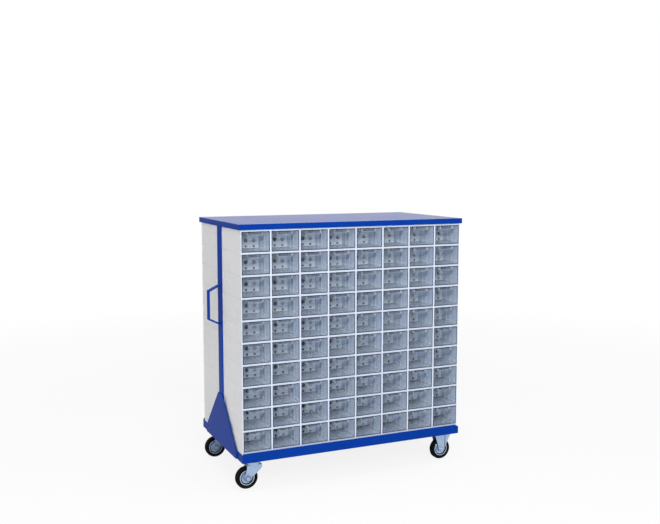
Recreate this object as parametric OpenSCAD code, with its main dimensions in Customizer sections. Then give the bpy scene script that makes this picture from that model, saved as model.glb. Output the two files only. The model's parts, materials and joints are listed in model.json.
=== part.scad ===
// Mobile parts bin cabinet, double sided: clear drawers slide in stacked plastic
// housings, which stand back to back on a steel base with two swivel and two
// fixed casters. X runs along the cabinet, -Y is one front and +Y the other,
// and Z is up from the floor. Millimetres.

/* [Drawer bays] */
// Width of one drawer bay, from bar centre to bar centre
bay_w = 140; // [126:1:160]
// Height of one drawer row, from bar centre to bar centre
row_h = 100; // [90:1:115]
// Width of the bars between the bays
bar_w = 8; // [6:0.5:11]
// Depth of a housing, from its front to its back wall's outside
housing_d = 275; // [240:1:330]
// Thickness of a housing's back wall
housing_back_t = 3; // [2:0.5:5]
// Seam between two housings, side by side or stacked
housing_seam = 0.3; // [0.2:0.05:0.5]
// Height of the foot under the lowest housings
foot_h = 10; // [6:1:16]
// Height of the rim on top of the highest housings
rim_h = 4; // [3:0.5:8]
// Wall of the foot and of the rim
foot_wall = 4; // [3:0.5:6]

/* [Housing sides] */
// Depth of the ledge's step in a housing's side
ledge_step = 1.6; // [0.8:0.1:2.4]
// Distance from a housing's top down to its ledge
ledge_drop = 37; // [25:1:50]
// Depth of the fine grooves below the ledge
groove_d = 0.8; // [0.4:0.1:1.6]
// Height of one fine groove
groove_h = 2; // [1:0.5:4]
// Pitch of the fine grooves
groove_pitch = 13; // [8:1:16]
// Smooth border at the front and back edge of a housing's side
side_border = 8; // [5:1:15]

/* [Drawers] */
// Running gap at each side of a drawer
drawer_side_gap = 1; // [0.6:0.1:2]
// Gap above a drawer
drawer_top_gap = 1.2; // [0.8:0.1:3]
// Gap under a drawer's runners
drawer_seat_gap = 0.3; // [0.2:0.05:0.5]
// Gap behind a drawer
drawer_rear_gap = 5; // [2:1:15]
// Thickness of a drawer's side and rear walls
drawer_wall = 2; // [1.5:0.1:3]
// Thickness of a drawer's front
drawer_front_t = 2.5; // [2:0.1:4]
// Height of the runners under a drawer's floor
runner_h = 2.7; // [1.5:0.1:4]
// Thickness of a drawer's floor
drawer_floor_t = 2; // [1.5:0.1:3]
// Height of the ribs along a drawer's floor
floor_rib_h = 1; // [0.6:0.1:2]
// Width of the ribs along a drawer's floor
floor_rib_w = 1.6; // [1:0.1:3]
// Number of ribs along a drawer's floor
floor_ribs = 5; // [3:1:7]

/* [Divider slots] */
// Distance from a drawer's front to its first divider slot
slot_first = 58; // [45:1:70]
// Pitch of the divider slots
slot_pitch = 40; // [30:1:45]
// Width of a divider slot
slot_w = 2.2; // [2:0.1:3]
// Thickness of the ribs beside a slot
slot_rib_t = 1.5; // [1:0.1:2.5]
// Reach of those ribs from the wall
slot_rib_reach = 2; // [1:0.1:3]

/* [Dividers] */
// Thickness of a divider
divider_t = 1.6; // [1:0.1:1.8]
// Gap at a divider's edges
divider_gap = 0.3; // [0.2:0.05:0.6]
// Height of a divider
divider_h = 80; // [60:1:82]
// Radius of a divider's upper holes
upper_hole_r = 9.5; // [5:0.5:11]
// Radius of a divider's lower holes
lower_hole_r = 6; // [3:0.5:7]
// Height of the upper holes above the bar's centre
upper_hole_z = 46; // [42:1:52]
// Height of the lower holes above the bar's centre
lower_hole_z = 18.5; // [17.5:0.5:24]
// Pitch of the holes across a divider
divider_hole_pitch = 38; // [28:1:40]

/* [Drawer grip] */
// Width of the finger opening in a drawer's front
grip_w = 68; // [50:1:84]
// Height of the finger opening
grip_h = 20; // [16:1:26]
// Height of the strip above the finger opening
grip_strip_h = 19; // [12:1:24]
// Radius of the finger opening's lower corners
grip_r = 9; // [4:0.5:12]
// Depth of the finger pocket behind the front
grip_d = 16; // [12:1:22]
// Wall of the finger pocket
grip_wall = 1.6; // [1.2:0.1:2.5]

/* [Base] */
// Height of the base rails above their underside
rail_h = 45; // [38:1:60]
// Height of the lip that holds the housings on the deck
lip_h = 10; // [6:1:14]
// Length of the slope at each end of the lip
lip_slope = 20; // [10:1:40]
// Overhang of the base past the drawers' fronts
base_over_front = 10; // [6:1:16]
// Overhang of the base past the housings' ends
base_over_end = 5; // [4:0.5:8]
// Thickness of the base's sheet
rail_t = 3; // [2:0.5:4]
// Width of the front and back rails' flanges
rail_flange = 30; // [25:1:36]
// Width of the end rails' flanges
end_flange = 20; // [15:1:22]
// Width of a cross member
cross_w = 40; // [30:1:50]
// Distance of the two inner cross members from the middle
cross_inner_x = 140; // [110:1:170]
// Thickness of the pads over the casters
pad_t = 5; // [4:0.5:6]
// How much deeper a caster pad is than a caster's plate
pad_over = 5; // [0:1:15]

/* [Posts and top] */
// Distance between the two banks, and depth of a post
spine_gap = 60; // [50:1:80]
// Width of a post along the cabinet
post_w = 40; // [30:1:50]
// Wall of the posts and spine rails
tube_t = 2; // [1.5:0.5:3]
// Height of a spine rail
spine_rail_h = 30; // [20:1:50]
// Thickness of a gusset plate
gusset_t = 5; // [3:0.5:8]
// Height of a gusset's tip above the base's underside
gusset_h = 250; // [180:5:350]
// Height of a gusset's straight edge above the base's underside
gusset_edge_h = 30; // [18:1:34]
// Width of a gusset at its foot
gusset_w = 480; // [380:5:540]
// Height of the top panel's skirt
skirt_h = 25; // [20:1:40]
// Thickness of the top panel's sheet
top_t = 2; // [1.5:0.5:3]
// Overhang of the top panel past the housings' ends
top_over_end = 10; // [8:0.5:12]
// Overhang of the top panel past the drawers' fronts
top_over_front = 7.5; // [5:0.5:12]
// Width of the top panel's return flange
top_flange = 20; // [16:1:30]

/* [Push handle] */
// Reach of the handle from its post
handle_reach = 59; // [45:1:80]
// Width of the handle's flat bar
handle_bar_w = 25; // [18:1:40]
// Thickness of the handle's flat bar
handle_bar_t = 8; // [5:0.5:10]
// Height of the handle's middle above the floor
handle_z = 818; // [700:5:950]
// Length of the handle's grip
handle_grip_l = 138; // [110:1:170]
// Length of the handle along its post
handle_foot_l = 196; // [180:1:240]

/* [Casters] */
// Diameter of the wheels
wheel_d = 104; // [96:1:106]
// Width of a tyre
tyre_w = 28; // [24:1:32]
// Radius of the tyre's shoulders
tyre_shoulder_r = 6; // [3:0.5:9]
// Thickness of a tyre, from its rim to its tread
tyre_t = 17; // [13:1:22]
// Height of a caster's head, from its wheel's top to its plate's top
caster_head_h = 36; // [34:1:46]
// Length of a caster's plate
plate_l = 105; // [100:1:110]
// Width of a caster's plate
plate_w = 85; // [80:1:90]
// Distance between bolts along a plate
bolt_dx = 80; // [75:1:84]
// Distance between bolts across a plate
bolt_dy = 60; // [55:1:64]
// Thickness of a swivel caster's plate
swivel_plate_t = 5; // [4:0.5:6]
// Thickness of a fixed caster's sheet
fixed_sheet_t = 4; // [3:0.5:5]
// Thickness of a fork's legs
leg_t = 3; // [2.5:0.5:4]
// Trail of the swivel casters
trail = 35; // [28:1:38]
// Distance of the swivel axes from the base's end
swivel_inset = 75; // [70:1:85]
// Distance of the fixed casters from the base's end
fixed_inset = 65; // [65:1:75]
// Distance of the casters from the base's long edges
caster_inset_y = 70; // [67:1:80]
// Radius of the axles and of the king pins
axle_r = 6; // [5:0.5:7]
// Running gap round the axles and king pins
bore_gap = 0.06; // [0.04:0.01:0.1]

/* [Hidden] */
// The layout below is fixed, because every drawer row is a node of its own.
rows = 10;
bays_per_housing = 4;
bays = 2 * bays_per_housing;
single_row = 5;

FRONT_ROWS = [for (r = [1 : rows]) if (r != single_row) str("drawers_front_row_", r)];
SINGLES = [for (b = [1 : bays]) str("drawer_front_", single_row, "_", b)];
BACK_ROWS = [for (r = [1 : rows]) str("drawers_back_row_", r)];
CORNERS = ["front_left", "front_right", "back_left", "back_right"];
HOUSINGS = [for (c = CORNERS) str("housings_", c)];
RIMS = [for (c = CORNERS) str("wheel_rim_", c)];
TYRES = [for (c = CORNERS) str("tyre_", c)];
$fn = 48;
cut = 1;                 // how far a cutting shape runs past what it cuts

// Colours
BLUE = [0.05, 0.16, 0.58];
CREAM = [0.88, 0.87, 0.84];
CLEAR = [0.62, 0.68, 0.76, 0.6];
ZINC = [0.72, 0.74, 0.78];
RUBBER = [0.07, 0.07, 0.08];

// Heights of the casters and the deck
wheel_r = wheel_d / 2;
caster_h = wheel_d + caster_head_h;

// Banks of housings
bank_w = bays * bay_w;
bank_front = spine_gap / 2 + housing_d;
deck_z = caster_h + rail_h - lip_h;
stack_z = deck_z + foot_h;
stack_top = stack_z + rows * row_h - housing_seam;
housing_w = bays_per_housing * bay_w - housing_seam;
housing_h = row_h - housing_seam;
bay_open_w = bay_w - bar_w;
bay_open_h = row_h - bar_w;
top_bar = bar_w / 2 - housing_seam;

// Base
base_l = bank_w + 2 * base_over_end;
base_d = 2 * (bank_front + base_over_front);
lip_z = caster_h + rail_h;
flange_inner_y = base_d / 2 - rail_flange;
flange_inner_x = base_l / 2 - end_flange;
swivel_x = base_l / 2 - swivel_inset;
fixed_x = base_l / 2 - fixed_inset;
caster_y = base_d / 2 - caster_inset_y;
pad_d = plate_w + pad_over;
pad_margin = 10;         // half the distance from a bolt to the pad's inner edge
swivel_pad_inner = swivel_x - bolt_dx / 2 - 2 * pad_margin;
fixed_pad_inner = fixed_x - bolt_dx / 2 - 2 * pad_margin;

gusset_corner = 8;       // bevel at the gusset's lower corners

// Posts and top
spine_rail_shares = [0.1, 0.5, 0.9];    // the rails' places up the stack
top_z = stack_top + rim_h + skirt_h;
top_l = bank_w + 2 * top_over_end;
top_d = 2 * (bank_front + top_over_front);

// Drawer
drawer_w = bay_open_w - 2 * drawer_side_gap;
drawer_z = bar_w / 2 + drawer_seat_gap;
drawer_top = row_h - bar_w / 2 - drawer_top_gap;
drawer_h = drawer_top - drawer_z;
drawer_d = housing_d - housing_back_t - drawer_rear_gap;
floor_z = drawer_z + runner_h + drawer_floor_t;
inner_w = drawer_w - 2 * drawer_wall;
slot_count = floor((drawer_d - slot_first) / slot_pitch);
middle_slot = floor(slot_count / 2);
divider_y = slot_first + middle_slot * slot_pitch;
divider_z = floor_z + floor_rib_h + divider_gap;
grip_bottom = drawer_top - grip_strip_h - grip_h;

// Wheels
rim_r = wheel_r - tyre_t;
tyre_seat_gap = 0.1;     // between the rim and the tyre
rim_half = tyre_w / 2 - 1.5;
rim_lip = 3;             // thickness of the rim under the tyre
rim_slope = 2;           // the lip's sloping inside, across
rim_edge = 2.5;          // and along the axle
rim_dish = 4;            // the web's slope up to the rim
web_half = 1.5;
hub_wall = 6;
hub_r = axle_r + hub_wall;
hub_root = 4;            // the web's thickening at the hub

// Forks
leg_gap = 4;             // between a tyre and a fork's leg
leg_in = tyre_w / 2 + leg_gap;
leg_out = leg_in + leg_t;
hub_gap = 1;             // between a hub and a fork's leg
hub_half = leg_in - hub_gap;
boss_r = 14;
fork_edge_steps = 5;
fork_edge_h = 10;        // straight edge under a fork's crown
crown_gap = 4;           // between a tyre and a swivel fork's crown
crown_z = wheel_d + crown_gap;
crown_fore = 35;         // from the swivel axis to the crown's front
crown_aft = 38;          // and to its rear
race_z = caster_h - swivel_plate_t;
race_cup_h = 7;
race_gap = 0.6;          // between the two halves of a swivel race
race_seat_z = race_z - race_cup_h - race_gap;
race_bevel = 3;
race_r = 31;
fork_inset = 3;          // from a fixed plate's end to its legs
crease_w = 12;
crease_h = 2.5;
crease_gap = 2;          // between a leg's boss and its crease
crease_z = wheel_r + boss_r + crease_gap;

// Fasteners
bolt_r = 4;
bolt_hole_r = 4.5;
bolt_head_r = 7.5;
bolt_head_h = 5.3;
bolt_nut_h = 6.5;
bolt_end = 3;            // thread past a nut
pin_head_r = 11;
pin_head_h = 7;
pin_head_gap = 0.3;      // between a king pin's head and the crown
axle_hex_r = 10.4;
axle_hex_t = 8;
axle_end = 1;            // axle past its nut

// The cabinet's middle lies aside from the origin, which is at the middle of the
// whole length with the handle.
end_x = base_l / 2 + gusset_t;
handle_x = base_l / 2 + handle_reach;
shift_x = (handle_x - end_x) / 2;

module placed() translate([shift_x, 0, 0]) children();

// A flat outline in X and Z, made t thick towards +Y
module along_y(t) translate([0, t, 0]) rotate([90, 0, 0]) linear_extrude(t) children();

// A flat outline in Y and Z, made t thick towards +X
module along_x(t) rotate([90, 0, 90]) linear_extrude(t) children();

module box(x, y, z) translate([x[0], y[0], z[0]])
    cube([x[1] - x[0], y[1] - y[0], z[1] - z[0]]);

// ---------------------------------------------------------------- housings

// The shallow step and the fine grooves in one side of a housing
module side_relief() {
    ledge_z = housing_h - ledge_drop;
    border = [side_border, housing_d - side_border];
    box([housing_w / 2 - ledge_step, housing_w / 2 + cut], border,
        [ledge_z, housing_h - bar_w / 2]);
    for (z = [bar_w + groove_pitch / 2 : groove_pitch : ledge_z - 2 * groove_h])
        box([housing_w / 2 - groove_d, housing_w / 2 + cut], border, [z, z + groove_h]);
}

// A low ring on or under a housing
module housing_ring(h) difference() {
    box([-housing_w / 2, housing_w / 2], [0, housing_d], [0, h]);
    box([-housing_w / 2 + foot_wall, housing_w / 2 - foot_wall],
        [foot_wall, housing_d - foot_wall], [-cut, h + cut]);
}

// One housing with its bays open to the front, at y = 0
module housing(row) {
    difference() {
        box([-housing_w / 2, housing_w / 2], [0, housing_d], [0, housing_h]);
        for (bay = [0 : bays_per_housing - 1])
            translate([(bay - (bays_per_housing - 1) / 2) * bay_w, 0, 0])
                box([-bay_open_w / 2, bay_open_w / 2], [-cut, housing_d - housing_back_t],
                    [bar_w / 2, bar_w / 2 + bay_open_h]);
        side_relief();
        mirror([1, 0, 0]) side_relief();
    }
    if (row == rows) translate([0, 0, -foot_h]) housing_ring(foot_h);
    if (row == 1) translate([0, 0, housing_h]) housing_ring(rim_h);
}

// The height of a row's lower bar centre; row 1 is the highest
function row_z(row) = stack_z + (rows - row) * row_h;

// Turns what was drawn for the front bank to the back one
module bank(side) placed() rotate([0, 0, side == "back" ? 180 : 0])
    translate([0, -bank_front, 0]) children();

module housing_stack(corner) {
    side = corner < 2 ? "front" : "back";
    // left and right are as seen from the front, so they swap in the turned bank
    x = (corner == 0 || corner == 3 ? -1 : 1) * bays_per_housing * bay_w / 2;
    color(CREAM) bank(side)
        for (row = [1 : rows]) translate([x, 0, row_z(row)]) housing(row);
}

// ----------------------------------------------------------------- drawers

// The inner line of one side wall, from front to back, with the ribs of its slots.
// dir is 1 on the right wall and -1 on the left.
function slot_edge(dir, slots) = [
    for (k = slots, e = [-1, 1])
        let (x = inner_w / 2, y = slot_first + k * slot_pitch + e * slot_w / 2,
             reach = x - slot_rib_reach,
             far = y + e * slot_rib_t, a = min(y, far), b = max(y, far))
        each [[dir * x, a], [dir * reach, a], [dir * reach, b], [dir * x, b]]];

function reversed(list) = [for (i = [len(list) - 1 : -1 : 0]) list[i]];

// Side and rear walls, seen from above
module wall_plan(slots) polygon(concat(
    [[-drawer_w / 2, drawer_front_t], [-drawer_w / 2, drawer_d],
     [drawer_w / 2, drawer_d], [drawer_w / 2, drawer_front_t],
     [inner_w / 2, drawer_front_t]],
    slot_edge(1, slots),
    [[inner_w / 2, drawer_d - drawer_wall], [-inner_w / 2, drawer_d - drawer_wall]],
    reversed(slot_edge(-1, slots)),
    [[-inner_w / 2, drawer_front_t]]));

// Floor with its lengthwise ribs, seen from the front
module floor_profile(ribs) {
    rib_pitch = inner_w / (ribs + 1);
    polygon(concat(
        [[inner_w / 2, floor_z], [inner_w / 2, floor_z - drawer_floor_t],
         [-inner_w / 2, floor_z - drawer_floor_t], [-inner_w / 2, floor_z]],
        [for (k = [1 : 1 : ribs])
            let (x = -inner_w / 2 + k * rib_pitch, h = floor_rib_w / 2,
                 z = floor_z + floor_rib_h)
            each [[x - h, floor_z], [x - h, z], [x + h, z], [x + h, floor_z]]]));
}

// A flat shape from low to high with round lower corners
module pocket_outline(w, low, high, r) {
    translate([-w / 2, low + r]) square([w, high - low - r]);
    translate([-w / 2 + r, low]) square([w - 2 * r, high - low]);
    for (s = [-1, 1]) translate([s * (w / 2 - r), low + r]) circle(r);
}

module front_plate() along_y(drawer_front_t) difference() {
    translate([-drawer_w / 2, drawer_z]) square([drawer_w, drawer_h]);
    pocket_outline(grip_w, grip_bottom, grip_bottom + grip_h, grip_r);
}

// The pocket behind the finger opening, open upwards
module finger_pocket() translate([0, drawer_front_t, 0]) difference() {
    along_y(grip_d + grip_wall) pocket_outline(
        grip_w + 2 * grip_wall, grip_bottom - grip_wall, drawer_top, grip_r + grip_wall);
    translate([0, -cut, 0]) along_y(grip_d + cut)
        pocket_outline(grip_w, grip_bottom, drawer_top + cut, grip_r);
}

module divider(holes) difference() {
    w = inner_w - 2 * divider_gap;
    translate([0, divider_y - divider_t / 2, divider_z])
        box([-w / 2, w / 2], [0, divider_t], [0, divider_h]);
    if (holes)
        for (k = [-1 : 1], hole = [[upper_hole_z, upper_hole_r], [lower_hole_z, lower_hole_r]])
            translate([k * divider_hole_pitch, divider_y, hole[0]]) rotate([90, 0, 0])
                cylinder(h = divider_t + 2 * cut, r = hole[1], center = true);
}

// One drawer with its divider; y = 0 at its front, z = 0 at the lower bar's centre.
// A fine one has all its slots, its floor ribs and the divider's holes. A plain one,
// of which there are many, has only the slot that its divider stands in.
module drawer(fine) {
    slots = fine ? [0 : slot_count - 1] : [middle_slot];
    translate([0, 0, drawer_z]) linear_extrude(drawer_h) wall_plan(slots);
    translate([0, drawer_front_t, 0]) along_y(drawer_d - drawer_front_t - drawer_wall)
        floor_profile(fine ? floor_ribs : 0);
    front_plate();
    finger_pocket();
    divider(fine);
}

module drawer_at(side, row, bay, fine) color(CLEAR) bank(side)
    translate([(bay - (bays + 1) / 2) * bay_w, 0, row_z(row)]) drawer(fine);

module drawer_row(side, row) for (bay = [1 : bays]) drawer_at(side, row, bay, false);

// -------------------------------------------------------------------- base

// A long rail in C section with the lip along its top; y = 0 at its outside
module long_rail() {
    half = base_l / 2;
    along_y(rail_t) polygon([[-half, caster_h], [half, caster_h], [half, deck_z],
        [half - lip_slope, lip_z], [-half + lip_slope, lip_z], [-half, deck_z]]);
    for (z = [caster_h, deck_z - rail_t])
        box([-half, half], [0, rail_flange], [z, z + rail_t]);
}

module end_rail() {
    half = base_d / 2;
    box([base_l / 2 - rail_t, base_l / 2], [-half, half], [caster_h, deck_z]);
    for (z = [caster_h, deck_z - rail_t])
        box([flange_inner_x, base_l / 2], [-half, half], [z, z + rail_t]);
}

module base_frame() color(BLUE) placed() for (turn = [0, 180]) rotate([0, 0, turn]) {
    translate([0, -base_d / 2, 0]) long_rail();
    end_rail();
}

// A square tube between the long rails' flanges, its middle at x
module cross_member(x) translate([x - cross_w / 2, 0, 0]) difference() {
    box([0, cross_w], [-flange_inner_y, flange_inner_y], [caster_h, deck_z]);
    box([tube_t, cross_w - tube_t], [-flange_inner_y - cut, flange_inner_y + cut],
        [caster_h + tube_t, deck_z - tube_t]);
}

module cross_members() color(BLUE) placed() {
    cross_member(-swivel_pad_inner + cross_w / 2);
    cross_member(-cross_inner_x);
    cross_member(cross_inner_x);
    cross_member(fixed_pad_inner - cross_w / 2);
}

// Puts children at a caster's place: 0 and 1 swivel, 2 and 3 are fixed
module caster_place(i)
    translate([i < 2 ? -swivel_x : fixed_x, i % 2 == 0 ? -caster_y : caster_y, 0]) children();

module bolt_places() for (x = [-1, 1], y = [-1, 1])
    translate([x * bolt_dx / 2, y * bolt_dy / 2, 0]) children();

module bolt_holes(z, t) bolt_places()
    translate([0, 0, z - cut]) cylinder(h = t + 2 * cut, r = bolt_hole_r);

module caster_pads() color(BLUE) placed() difference() {
    for (y = [-1, 1]) {
        edges = [y * flange_inner_y, y * (flange_inner_y - pad_d)];
        box([-flange_inner_x, -swivel_pad_inner], [min(edges), max(edges)],
            [caster_h, caster_h + pad_t]);
        box([fixed_pad_inner, flange_inner_x], [min(edges), max(edges)],
            [caster_h, caster_h + pad_t]);
    }
    for (i = [0 : 3]) caster_place(i) bolt_holes(caster_h, pad_t);
}

// ----------------------------------------------------------- posts and top

module post() {
    out = base_l / 2;
    difference() {
        box([out - post_w, out], [-spine_gap / 2, spine_gap / 2], [deck_z, top_z - top_t]);
        box([out - post_w + tube_t, out - tube_t],
            [-spine_gap / 2 + tube_t, spine_gap / 2 - tube_t],
            [deck_z - cut, top_z - top_t + cut]);
    }
}
module post_left() color(BLUE) placed() mirror([1, 0, 0]) post();
module post_right() color(BLUE) placed() post();

// Square tubes from post to post, between the banks
module spine_rails() color(BLUE) placed() {
    half = base_l / 2 - post_w;
    for (share = spine_rail_shares)
        translate([0, 0, stack_z + share * rows * row_h - spine_rail_h / 2]) difference() {
            box([-half, half], [-spine_gap / 2, spine_gap / 2], [0, spine_rail_h]);
            box([-half - cut, half + cut], [-spine_gap / 2 + tube_t, spine_gap / 2 - tube_t],
                [tube_t, spine_rail_h - tube_t]);
        }
}

module gusset() translate([base_l / 2, 0, caster_h]) along_x(gusset_t) polygon([
    [-spine_gap / 2, gusset_h], [-gusset_w / 2, gusset_edge_h],
    [-gusset_w / 2, gusset_corner], [-gusset_w / 2 + gusset_corner, 0],
    [gusset_w / 2 - gusset_corner, 0], [gusset_w / 2, gusset_corner],
    [gusset_w / 2, gusset_edge_h], [spine_gap / 2, gusset_h]]);
module gusset_left() color(BLUE) placed() mirror([1, 0, 0]) gusset();
module gusset_right() color(BLUE) placed() gusset();

// A shallow tray upside down, with a flange turned in at the foot of its skirt
module top_panel() color(BLUE) placed() difference() {
    z = top_z - skirt_h;
    box([-top_l / 2, top_l / 2], [-top_d / 2, top_d / 2], [z, top_z]);
    box([-top_l / 2 + top_t, top_l / 2 - top_t], [-top_d / 2 + top_t, top_d / 2 - top_t],
        [z + top_t, top_z - top_t]);
    box([-top_l / 2 + top_flange, top_l / 2 - top_flange],
        [-top_d / 2 + top_flange, top_d / 2 - top_flange], [z - cut, z + 2 * top_t]);
    // the posts pass through the flange
    for (s = [-1, 1]) translate([s * (base_l - post_w) / 2, 0, 0])
        box([-post_w / 2 - cut, post_w / 2 + cut], [-spine_gap / 2 - cut, spine_gap / 2 + cut],
            [z - cut, top_z - top_t]);
}

// A flat bar bent to three sides of a trapezium
module push_handle() {
    slope = (handle_foot_l - handle_grip_l) / 2 / handle_reach;
    drop = handle_bar_t * sqrt(1 + slope * slope);
    foot = handle_foot_l / 2;
    grip = handle_grip_l / 2;
    inner_grip = grip + slope * handle_bar_t - drop;
    color(BLUE) placed() translate([-base_l / 2, -handle_bar_w / 2, handle_z])
        along_y(handle_bar_w) polygon([
            [0, foot], [-handle_reach, grip], [-handle_reach, -grip], [0, -foot],
            [0, -foot + drop], [-handle_reach + handle_bar_t, -inner_grip],
            [-handle_reach + handle_bar_t, inner_grip], [0, foot - drop]]);
}

// ----------------------------------------------------------------- casters

// Turns a shape round Z to one round Y, its middle at the wheel's
module on_axle() translate([0, 0, wheel_r]) rotate([90, 0, 0]) children();

// A wheel's place: swivel wheels trail behind their axis
module wheel_place(i) placed() caster_place(i)
    translate([i < 2 ? -trail : 0, 0, 0]) on_axle() children();

// A pressed rim with its hub: a dished web between the hub and the tyre's seat
module wheel_rim(i) color(ZINC) wheel_place(i) rotate_extrude() {
    bore = axle_r + bore_gap;
    lip = rim_r - rim_lip;
    side = [[bore, hub_half], [hub_r, hub_half], [hub_r, 2 * web_half],
        [hub_r + hub_root, web_half], [lip - rim_slope - rim_dish, web_half],
        [lip - rim_slope, rim_half - rim_edge], [lip, rim_half], [rim_r, rim_half]];
    polygon(concat(side, reversed([for (p = side) [p[0], -p[1]]])));
}

module tyre(i) color(RUBBER) wheel_place(i) rotate_extrude() {
    seat = rim_r + tyre_seat_gap;
    difference() {
        translate([seat, -tyre_w / 2]) square([wheel_r - seat, tyre_w]);
        for (s = [0, 1]) mirror([0, s])
            translate([wheel_r - tyre_shoulder_r, tyre_w / 2 - tyre_shoulder_r]) difference() {
                square(tyre_shoulder_r + cut);
                circle(r = tyre_shoulder_r);
            }
    }
}

// A hex bolt along Y through a fork, with its nut
module axle_bolt() on_axle() {
    cylinder(h = 2 * (leg_out + axle_hex_t + axle_end), r = axle_r, center = true);
    for (s = [0, 1]) mirror([0, 0, s]) translate([0, 0, leg_out])
        cylinder(h = axle_hex_t, r = axle_hex_r, $fn = 6);
}
module swivel_axle_bolt(i) color(ZINC) placed() caster_place(i)
    translate([-trail, 0, 0]) axle_bolt();
module fixed_axle_bolts() color(ZINC) placed() for (i = [2, 3]) caster_place(i) axle_bolt();

// A curve from a fork's boss, x from the hub's middle, out to an upper corner
function fork_edge(x, corner) = [for (i = [0 : fork_edge_steps])
    let (a = 90 * i / fork_edge_steps, z = corner[1] - wheel_r)
    [corner[0] - (corner[0] - x) * cos(a), wheel_r + z * sin(a)]];

// The two legs of a fork: outline, boss and bore; x is the hub's place
module fork_legs(x, outline) for (s = [0, 1]) mirror([0, s, 0]) difference() {
    translate([0, leg_in, 0]) {
        along_y(leg_t) polygon(outline);
        translate([x, leg_t / 2, wheel_r]) rotate([90, 0, 0])
            cylinder(h = leg_t, r = boss_r, center = true);
    }
    translate([x, leg_in + leg_t / 2, wheel_r]) rotate([90, 0, 0])
        cylinder(h = leg_t + 2 * cut, r = axle_r + bore_gap, center = true);
}

module swivel_fork(i) color(ZINC) placed() caster_place(i) {
    edge_z = crown_z - fork_edge_h;
    fork_legs(-trail, concat(
        [[crown_fore, crown_z + leg_t], [-crown_aft, crown_z + leg_t],
         [-crown_aft, edge_z], [-trail - boss_r, wheel_r]],
        fork_edge(-trail + boss_r, [crown_fore, edge_z])));
    difference() {
        union() {
            box([-crown_aft, crown_fore], [-leg_out, leg_out],
                [crown_z, crown_z + leg_t]);
            rotate_extrude() polygon([
                [0, crown_z], [leg_in, crown_z], [race_r, crown_z + leg_t],
                [race_r, race_seat_z - race_bevel], [race_r - race_bevel, race_seat_z],
                [0, race_seat_z]]);
        }
        translate([0, 0, crown_z - cut]) cylinder(h = caster_h, r = axle_r + bore_gap);
    }
}

// Plate with bolt holes and the upper half of the swivel race
module swivel_plates() color(ZINC) placed() for (i = [0, 1]) caster_place(i) difference() {
    union() {
        box([-plate_l / 2, plate_l / 2], [-plate_w / 2, plate_w / 2], [race_z, caster_h]);
        translate([0, 0, race_z - race_cup_h]) cylinder(h = race_cup_h + cut, r = race_r);
    }
    bolt_holes(race_z, swivel_plate_t);
    translate([0, 0, race_z - race_cup_h - cut])
        cylinder(h = race_cup_h + swivel_plate_t + 2 * cut, r = axle_r + bore_gap);
}

module king_pins() color(ZINC) placed() for (i = [0, 1]) caster_place(i) {
    low = crown_z - pin_head_gap - pin_head_h;
    translate([0, 0, low]) {
        cylinder(h = pin_head_h, r = pin_head_r, $fn = 6);
        cylinder(h = caster_h - low, r = axle_r);
    }
}

// A pressed fork with wide legs, each stiffened by an upright crease
module fixed_forks() color(ZINC) placed() for (i = [2, 3]) caster_place(i) {
    top = caster_h - fixed_sheet_t;
    half = plate_l / 2 - fork_inset;
    corner = [half, top - fork_edge_h];
    difference() {
        box([-plate_l / 2, plate_l / 2], [-plate_w / 2, plate_w / 2], [top, caster_h]);
        bolt_holes(top, fixed_sheet_t);
    }
    right = fork_edge(boss_r, corner);
    fork_legs(0, concat(right, [[half, caster_h], [-half, caster_h]],
        reversed([for (p = right) [-p[0], p[1]]])));
    for (s = [0, 1]) mirror([0, s, 0]) translate([0, leg_out, crease_z])
        linear_extrude(caster_h - crease_z)
            polygon([[-crease_w / 2, -leg_t / 2], [crease_w / 2, -leg_t / 2], [0, crease_h]]);
}

module caster_bolts() color(ZINC) placed() for (i = [0 : 3]) {
    under = caster_h - (i < 2 ? swivel_plate_t : fixed_sheet_t);
    over = caster_h + pad_t;
    caster_place(i) bolt_places() {
        translate([0, 0, under - bolt_head_h]) cylinder(h = bolt_head_h, r = bolt_head_r, $fn = 6);
        translate([0, 0, over]) cylinder(h = bolt_nut_h, r = bolt_head_r, $fn = 6);
        translate([0, 0, under - bolt_head_h])
            cylinder(h = bolt_head_h + over - under + bolt_nut_h + bolt_end, r = bolt_r);
    }
}

// ------------------------------------------------------------------- nodes

base_frame();
cross_members();
caster_pads();
post_left();
post_right();
spine_rails();
gusset_left();
gusset_right();
top_panel();
push_handle();
for (c = [0 : 3]) housing_stack(c);
swivel_plates();
king_pins();
swivel_fork(0);  // swivel_fork_front
swivel_fork(1);  // swivel_fork_back
swivel_axle_bolt(0);  // axle_bolt_front
swivel_axle_bolt(1);  // axle_bolt_back
fixed_forks();
fixed_axle_bolts();
caster_bolts();
// the corners' names run front left, front right, back left, back right
for (c = [0 : 3]) wheel_rim([0, 2, 1, 3][c]);
for (c = [0 : 3]) tyre([0, 2, 1, 3][c]);
for (row = [1 : rows]) if (row != single_row)
    drawer_row("front", row);
for (bay = [1 : bays])
    drawer_at("front", single_row, bay, true);
for (row = [1 : rows])
    drawer_row("back", row);
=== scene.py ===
"""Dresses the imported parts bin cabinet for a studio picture.

The frame holds every rigid piece at its real size. This script rounds the edges of
the steel and the mouldings, fills the bays with clear drawers in full detail, builds
the wheels, and gives every piece a procedural finish. Lengths are metres.
"""

import json
import logging
import math
from dataclasses import dataclass, field
from enum import Enum
from typing import Any, Mapping, Sequence, Union

import bmesh
import bpy
from mathutils import Matrix, Vector


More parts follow.
